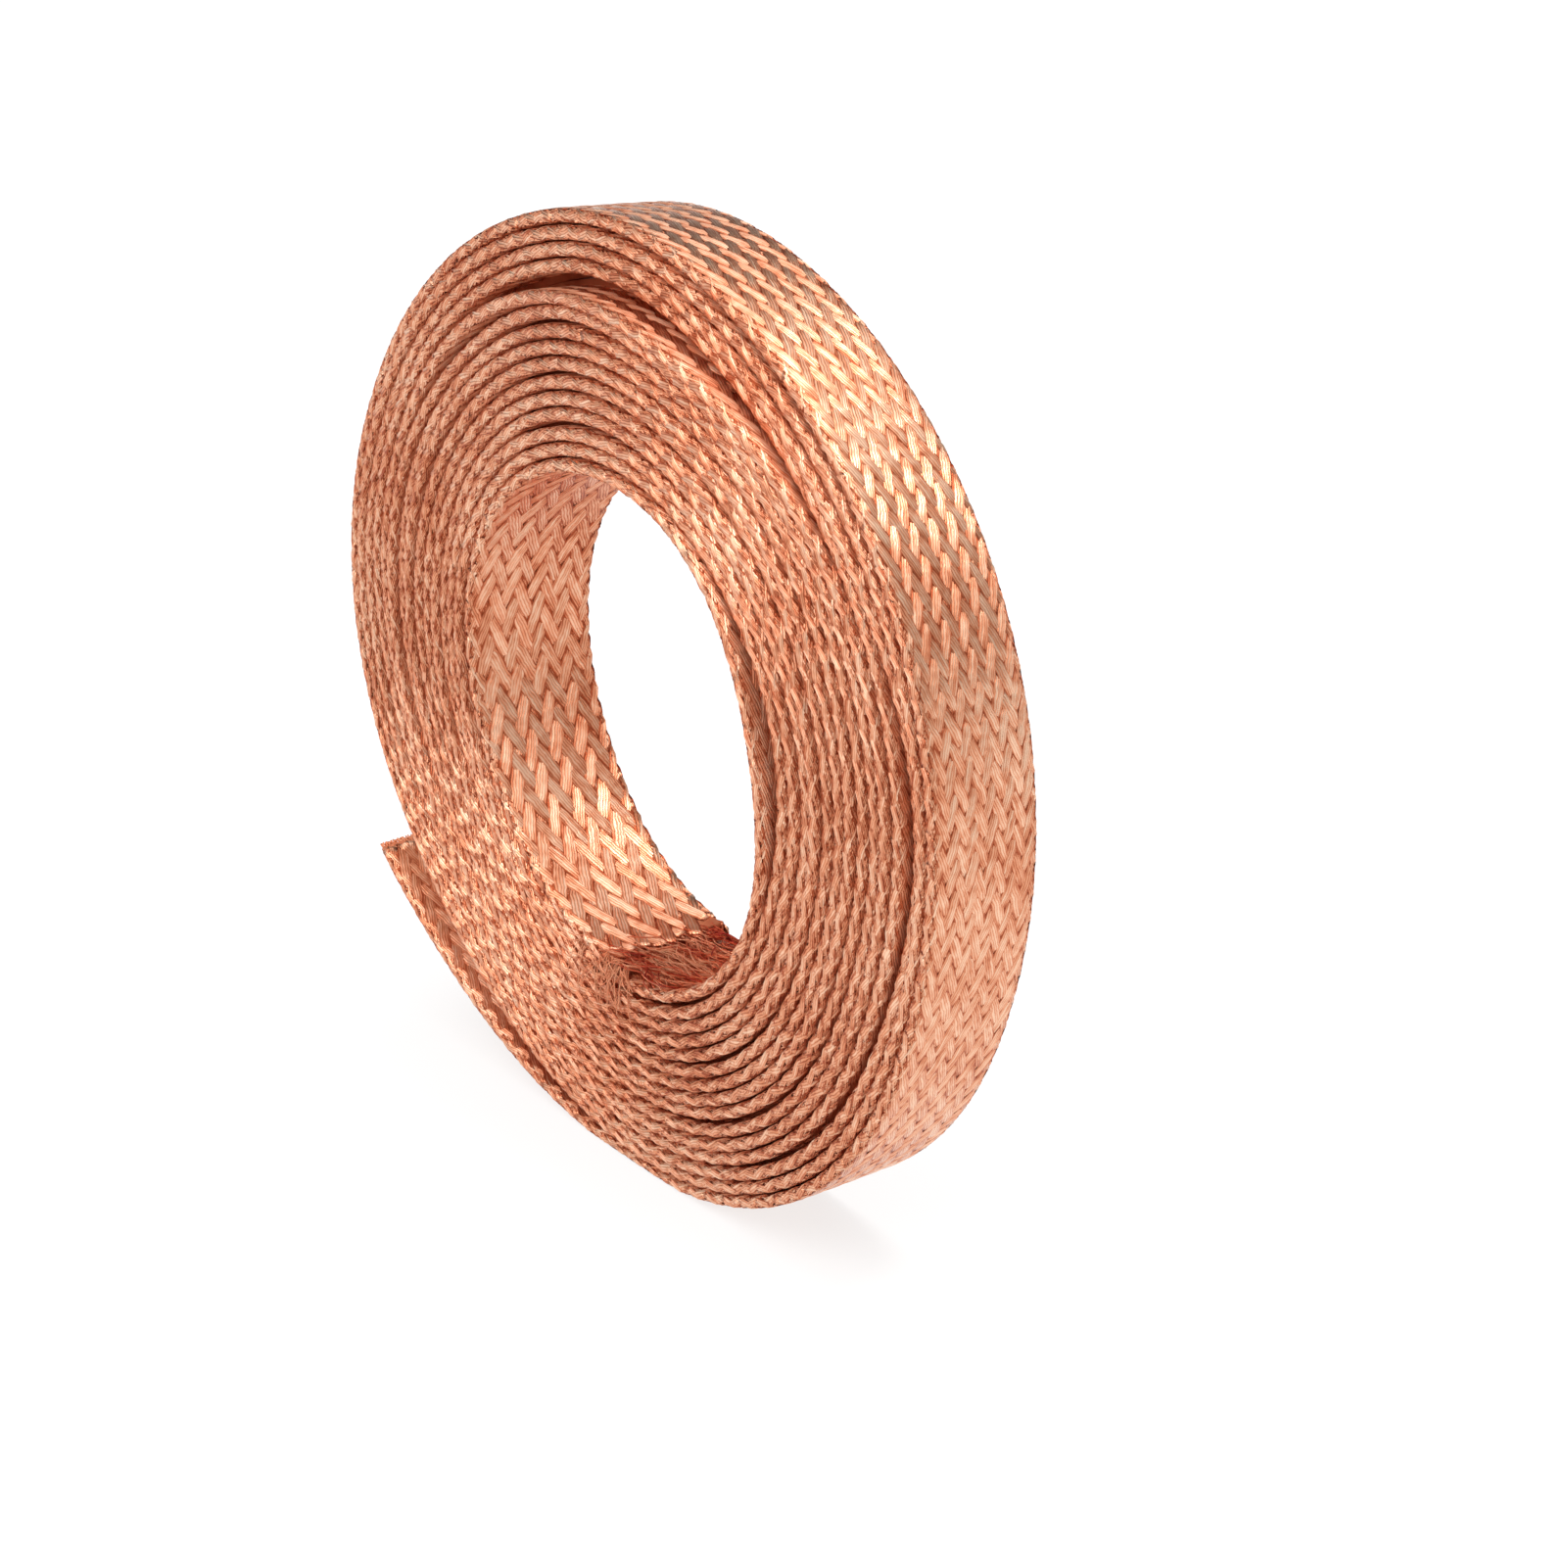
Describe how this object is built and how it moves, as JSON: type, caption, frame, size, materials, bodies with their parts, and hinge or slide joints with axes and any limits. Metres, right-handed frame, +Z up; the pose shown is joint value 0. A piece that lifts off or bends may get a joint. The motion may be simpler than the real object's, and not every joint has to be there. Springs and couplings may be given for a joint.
{
  "type": "flexible busbar braid",
  "caption": "Roll of flat braided bare copper strap, wound loosely on itself and stood on its rim, with a frayed inner end and a square cut outer end.",
  "frame": {"origin": "on the floor, under the middle of the roll's box; the roll stands on the flat spot of its rim", "axes": "+Y along the roll's axis, from the front face to the back; +Z up; the outer end springs off at the lower left seen from the front (-X)"},
  "size_m": [0.1526, 0.0256, 0.1522],
  "materials": {
    "bare_copper": "bare braided copper wire, semi-bright, with darker gaps between the strands"
  },
  "bodies": {
    "root": {"braid_roll": "bare_copper"}
  },
  "joints": []
}
